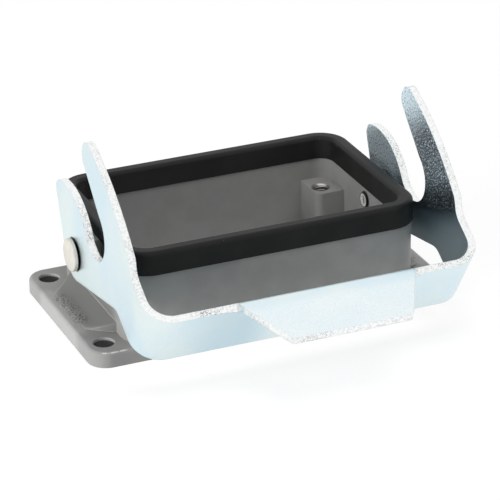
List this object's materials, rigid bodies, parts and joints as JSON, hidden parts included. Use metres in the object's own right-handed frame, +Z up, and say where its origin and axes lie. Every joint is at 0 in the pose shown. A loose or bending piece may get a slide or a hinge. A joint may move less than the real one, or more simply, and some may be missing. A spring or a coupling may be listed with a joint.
{
  "type": "heavy duty rectangular connector",
  "caption": "Panel housing base of a heavy duty rectangular connector, with rim seal, insert posts and a bent sheet locking lever pivoted on its end walls.",
  "frame": {"origin": "middle of the panel screw pattern, on the underside of the flange", "axes": "+X along the length, +Y towards the back, away from the lever's bar, +Z up from the panel"},
  "size_m": [0.0776, 0.0744, 0.0428],
  "materials": {
    "casting": "grey powder coat over a die casting, fine texture",
    "seal": "matt moulded rubber",
    "zinc_sheet": "blue-white zinc plate on punched sheet",
    "pin": "plain turned steel"
  },
  "bodies": {
    "base": {"housing": "casting", "rim_seal": "seal", "panel_gasket": "seal", "left_pivot_pin": "pin", "right_pivot_pin": "pin"},
    "lever": {"locking_lever": "zinc_sheet"}
  },
  "joints": [
    {"name": "lever_hinge", "type": "hinge", "parent": "base", "child": "lever", "pos_m": [0, 0, 0.0153], "axis": [-1, 0, 0], "range_deg": [0, 52]}
  ]
}
